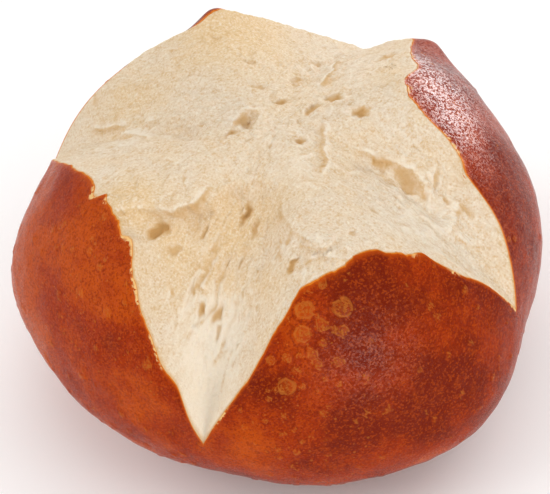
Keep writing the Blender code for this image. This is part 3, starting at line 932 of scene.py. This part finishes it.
def run_tree(piece, tree, names, values, result_name):
    """Run a tree on a piece and return its result as a plain mesh object."""
    modifier = piece.modifiers.new(tree.name, "NODES")
    modifier.node_group = tree
    for label, value in values.items():
        modifier[names[label]] = value
    graph = bpy.context.evaluated_depsgraph_get()
    mesh = bpy.data.meshes.new_from_object(piece.evaluated_get(graph), depsgraph=graph)
    piece.modifiers.remove(modifier)
    mesh.name = result_name
    result = bpy.data.objects.new(result_name, mesh)
    bpy.context.scene.collection.objects.link(result)
    mesh.shade_smooth()
    return result


# --- Settings -----------------------------------------------------------------------------------

def length_setting(name, description, length):
    return FloatProperty(name=name, description=description, default=length, unit="LENGTH")


def angle_setting(name, description, angle):
    return FloatProperty(name=name, description=description, default=angle * DEG, subtype="ANGLE")


def colour_setting(name, description, code):
    return FloatVectorProperty(name=name, description=description, subtype="COLOR", size=4,
                               default=linear(code))


class CrumbSettings(bpy.types.PropertyGroup):
    fibre_height: length_setting("Fibre height", "How far torn fibres stand out", 1.0 * MM)
    pore_depth: FloatProperty(name="Pore depth", description="Depth of the air cells, as a share",
                              default=1.0)
    grain_size: length_setting("Grain size", "Width of the fine grain", 1.3 * MM)
    grain_height: length_setting("Grain height", "Height of the fine grain", 0.35 * MM)
    # The white colour is both the thinnest membranes' own colour and painted highlight.
    white_and_highlight_colour: colour_setting("White crumb", "Colour of the thinnest membranes", "#ebdfcc")
    pale_colour: colour_setting("Pale crumb", "Main colour of the crumb", "#decdb6")
    cream_colour: colour_setting("Cream crumb", "Colour of the warmer patches", "#dec197")
    # The hollow colour is the crumb's own tan in its noise and streaks, and painted shade in pores and
    # cracks; the deep colour is painted shade only.
    tan_and_shade_colour: colour_setting("Hollow crumb", "Colour inside pores and cracks", "#c8a06a")
    deep_shade_colour: colour_setting("Deep crumb", "Colour at the bottom of the deepest pores", "#b58649")
    rim_colour: colour_setting("Rim crumb", "Colour next to the crust", "#d2a058")


class CrustSettings(bpy.types.PropertyGroup):
    thickness: length_setting("Thickness", "Thickness of the browned crust", 0.9 * MM)
    ripple_height: length_setting("Ripple height", "Height of the crust's slow unevenness", 0.28 * MM)
    blister_height: length_setting("Blister height", "Height of the largest blisters", 0.16 * MM)
    brown_colour: colour_setting("Brown", "Main colour of the crust", "#962e06")
    dark_colour: colour_setting("Dark brown", "Colour of the darkest patches", "#6e1c06")
    orange_colour: colour_setting("Orange", "Colour where the crust is thin", "#b64a0a")
    # The blister colour also paints the light flecks, which are partly painted glints.
    blister_and_glint_colour: colour_setting("Blister", "Colour of the blisters", "#be7028")
    bare_colour: colour_setting("Bare", "Colour where flakes of the skin came off", "#e6bd7c")
    edge_colour: colour_setting("Edge", "Colour of the torn edge", "#d67a24")


class ScrapSettings(bpy.types.PropertyGroup):
    density: FloatProperty(name="Density", description="Scraps to a square metre where they are thickest",
                           default=1200000.0)
    size: length_setting("Size", "Half the width of the largest scrap", 0.42 * MM)
    seed: IntProperty(name="Seed", description="Where the scraps fall", default=5)


class StageSettings(bpy.types.PropertyGroup):
    floor_colour: colour_setting("Floor", "Colour of the floor", "#fbfaf9")
    floor_size: length_setting("Floor size", "Width of the floor", 6.0)
    surround: FloatProperty(name="Surround", description="Brightness of the white surround", default=0.35)
    light_share: FloatProperty(name="Light", description="Brightness of the softboxes, as a share",
                               default=1.0)
    azimuth: angle_setting("Camera azimuth", "Camera angle about the upright", 23.45)
    elevation: angle_setting("Camera elevation", "Camera angle above the floor", 47.4)
    roll: angle_setting("Camera roll", "How far the camera leans", 4.4)
    distance: length_setting("Camera distance", "From the camera to the roll", 0.70)
    lens: FloatProperty(name="Lens", description="Focal length in millimetres", default=230.5)
    aim_right: length_setting("Aim right", "How far right of the form's centre it looks", -2.6 * MM)
    aim_up: length_setting("Aim up", "How far above the form's centre it looks", 1.3 * MM)


# --- Operators ----------------------------------------------------------------------------------

class ROLL_OT_crumb(bpy.types.Operator):
    """Make the pale torn crumb, from its star down to the inside of the crust"""
    bl_idname = "roll.crumb"
    bl_label = "Crumb"

    def execute(self, context):
        look = context.scene.roll_crumb
        turn = even_turns(AROUND)
        film, attributes = crumb_film(look)
        hidden = under_rings(turn, context.scene.roll_crust.thickness + CRUMB_GAP, HIDDEN_RINGS)[1:]
        points, faces = join_rings(film + hidden)
        attributes["grain_share"] = smooth_step(attributes["from_rim"] * 80)
        rest = np.zeros(len(points) - len(attributes["hollow_shade"]))
        whole = {label: np.concatenate([values, rest]) for label, values in attributes.items()}
        base = make_piece("crumb_form", points, faces, whole)
        tree, names = grain_tree()
        piece = run_tree(base, tree, names, {
            "Grain size": look.grain_size, "Grain height": look.grain_height,
            "Material": crumb_material(look)}, "torn_crumb")
        bpy.data.objects.remove(base)
        settle(piece)
        return {"FINISHED"}


class ROLL_OT_crust(bpy.types.Operator):
    """Make the browned crust: a thin shell with a ragged torn edge, ripples and blisters"""
    bl_idname = "roll.crust"
    bl_label = "Crust"

    def execute(self, context):
        look = context.scene.roll_crust
        turn = even_turns(AROUND)
        azimuth, tilt, _ = edge_at(turn)
        floor = base_tilt(azimuth)
        inner = under_rings(turn, look.thickness, INNER_RINGS)[::-1]
        lip = [skin_point(azimuth, tilt + shift * MM / HALF_WIDTH, inset * MM)
               for shift, inset in LIP_RINGS]
        downs = (np.arange(CRUST_STEPS + 1) / CRUST_STEPS) ** CRUST_CROWDING
        tilts = [tilt + (floor - tilt) * down for down in downs]
        outer = [skin_point(azimuth, here) for here in tilts]
        skin = np.concatenate(outer)
        edge = np.tile(outer[0], (CRUST_STEPS + 1, 1))
        from_edge = np.linalg.norm(skin - edge, axis=1) / MM
        around = np.tile((azimuth + math.pi) % (2 * math.pi) - math.pi, CRUST_STEPS + 1)
        scorch = skin_share(around, np.concatenate(tilts), SCORCHES)
        gloss = skin_share(around, np.concatenate(tilts), GLOSSES)
        peeled = sum(part.depth * np.exp(-((around / DEG - part.azimuth) / part.spread) ** 2)
                     for part in PEELINGS)
        peeled = peeled * np.exp(-(from_edge / PEEL_REACH) ** 2)
        dome, ring = blister_profile(skin, BLISTERS + tuple(fine_blisters()))
        ripple = noise(skin / (9 * MM), 51) + 0.45 * noise(skin / (3.5 * MM), 52)
        keep = smooth_step(from_edge / CALM_EDGE) * smooth_step(skin[:, 2] / CALM_FOOT)
        outward = skin - centre()
        outward /= np.linalg.norm(outward, axis=1)[:, None]
        skin = skin + outward * (keep * (ripple * look.ripple_height + dome * look.blister_height))[:, None]
        outer = np.split(skin, CRUST_STEPS + 1)
        outer[-1][:, 2] = 0
        base = [outer[-1] * share for share in BASE_RINGS]
        rings = inner + lip + outer + base
        points, faces = join_rings(rings)
        before = (len(inner) + len(lip)) * AROUND
        after = len(points) - before - len(skin)
        attributes = {"from_edge": from_edge, "blister_dome": dome, "blister_ring": ring,
                      "scorch": scorch, "gloss": gloss, "peeled": peeled,
                      "fleck_and_glint_share": blister_crowd(around / DEG)}
        whole = {label: np.pad(values, (before, after), mode="edge") for label, values in attributes.items()}
        piece = make_piece("browned_crust", points, faces, whole)
        piece.data.materials.append(crust_material(look))
        settle(piece)
        return {"FINISHED"}


class ROLL_OT_scraps(bpy.types.Operator):
    """Scatter small torn scraps where the crumb tore raggedly"""
    bl_idname = "roll.scraps"
    bl_label = "Scraps"

    def execute(self, context):
        look = context.scene.roll_scraps
        crumb = bpy.data.objects["torn_crumb"]
        points = np.zeros(len(crumb.data.vertices) * 3)
        crumb.data.vertices.foreach_get("co", points)
        x, y, z = points.reshape(-1, 3).T / MM
        torn = np.clip(patch_share(x, y, TORN_PATCHES) - SCRAP_START, 0, 1) * (z > CENTRE_HEIGHT / MM)
        layer = crumb.data.attributes.new("scrap_share", "FLOAT", "POINT")
        layer.data.foreach_set("value", torn.astype(np.float32))
        tree, names = scraps_tree()
        piece = run_tree(crumb, tree, names, {
            "Scraps per square metre": look.density, "Scrap size": look.size, "Seed": look.seed,
            "Material": bpy.data.materials["torn_wheat_crumb"]}, "torn_scraps")
        crumb.data.attributes.remove(crumb.data.attributes["scrap_share"])
        settle(piece)
        return {"FINISHED"}


def add_softbox(softbox, share):
    """A square softbox that faces the roll's centre."""
    light = bpy.data.lights.new(softbox.name, "AREA")
    light.shape = "SQUARE"
    light.size = softbox.width
    light.energy = softbox.power * share
    turn, rise = softbox.azimuth * DEG, softbox.elevation * DEG
    away = Vector((math.cos(turn) * math.cos(rise), math.sin(turn) * math.cos(rise), math.sin(rise)))
    lamp = bpy.data.objects.new(softbox.name, light)
    place = Matrix.Translation(Vector(centre()) + away * softbox.distance)
    lamp.matrix_world = place @ away.to_track_quat("Z", "Y").to_matrix().to_4x4()
    bpy.context.scene.collection.objects.link(lamp)


def add_camera(settings):
    """The camera, leaning by its roll, aimed a little beside the form's centre."""
    turn, rise = settings.azimuth, settings.elevation
    right = Vector((math.cos(turn), math.sin(turn), 0))
    back = Vector((math.sin(turn) * math.cos(rise), -math.cos(turn) * math.cos(rise), math.sin(rise)))
    up = back.cross(right)
    target = Vector(centre()) + right * settings.aim_right + up * settings.aim_up
    lean_cos, lean_sin = math.cos(settings.roll), math.sin(settings.roll)
    axes = (right * lean_cos - up * lean_sin, right * lean_sin + up * lean_cos, back)
    data = bpy.data.cameras.new("camera")
    data.lens = settings.lens
    data.sensor_width = 36
    data.clip_start = 0.01
    camera = bpy.data.objects.new("camera", data)
    place = Matrix.Translation(target + back * settings.distance)
    camera.matrix_world = place @ Matrix(axes).transposed().to_4x4()
    bpy.context.scene.collection.objects.link(camera)
    bpy.context.scene.camera = camera


class ROLL_OT_stage(bpy.types.Operator):
    """Set up the pale floor, the white surround, the softboxes and the camera"""
    bl_idname = "roll.stage"
    bl_label = "Stage"

    def execute(self, context):
        settings = context.scene.roll_stage
        half = settings.floor_size / 2
        mesh = bpy.data.meshes.new("floor")
        corners = [(-half, -half, 0), (half, -half, 0), (half, half, 0), (-half, half, 0)]
        mesh.from_pydata(corners, [], [(0, 1, 2, 3)])
        mesh.materials.append(floor_material(settings))
        floor = bpy.data.objects.new("floor", mesh)
        context.scene.collection.objects.link(floor)
        world = bpy.data.worlds.new("white_surround")
        world.use_nodes = True
        shade = world.node_tree.nodes["Background"]
        shade.inputs["Color"].default_value = (1, 1, 1, 1)
        shade.inputs["Strength"].default_value = settings.surround
        context.scene.world = world
        for softbox in SOFTBOXES:
            add_softbox(softbox, settings.light_share)
        add_camera(settings)
        context.scene.view_settings.view_transform = "Standard"
        return {"FINISHED"}


class ROLL_PT_panel(bpy.types.Panel):
    """Sizes, colours and steps of the pretzel roll"""
    bl_idname = "ROLL_PT_panel"
    bl_label = "Pretzel Roll"
    bl_space_type = "VIEW_3D"
    bl_region_type = "UI"
    bl_category = "Roll"

    def draw(self, context):
        for group, step in (("roll_crumb", "roll.crumb"), ("roll_crust", "roll.crust"),
                            ("roll_scraps", "roll.scraps"), ("roll_stage", "roll.stage")):
            box = self.layout.box()
            settings = getattr(context.scene, group)
            for name in settings.__annotations__:
                box.prop(settings, name)
            box.operator(step)


GROUPS = {
    "roll_crumb": CrumbSettings, "roll_crust": CrustSettings,
    "roll_scraps": ScrapSettings, "roll_stage": StageSettings,
}
CLASSES = tuple(GROUPS.values()) + (
    ROLL_OT_crumb, ROLL_OT_crust, ROLL_OT_scraps, ROLL_OT_stage, ROLL_PT_panel)


def register():
    for item in CLASSES:
        bpy.utils.register_class(item)
    for name, group in GROUPS.items():
        setattr(bpy.types.Scene, name, PointerProperty(type=group))


def unregister():
    for name in GROUPS:
        delattr(bpy.types.Scene, name)
    for item in reversed(CLASSES):
        bpy.utils.unregister_class(item)


def main():
    register()
    bpy.ops.roll.crumb()
    bpy.ops.roll.crust()
    bpy.ops.roll.scraps()
    bpy.ops.roll.stage()


if __name__ == "__main__":
    main()
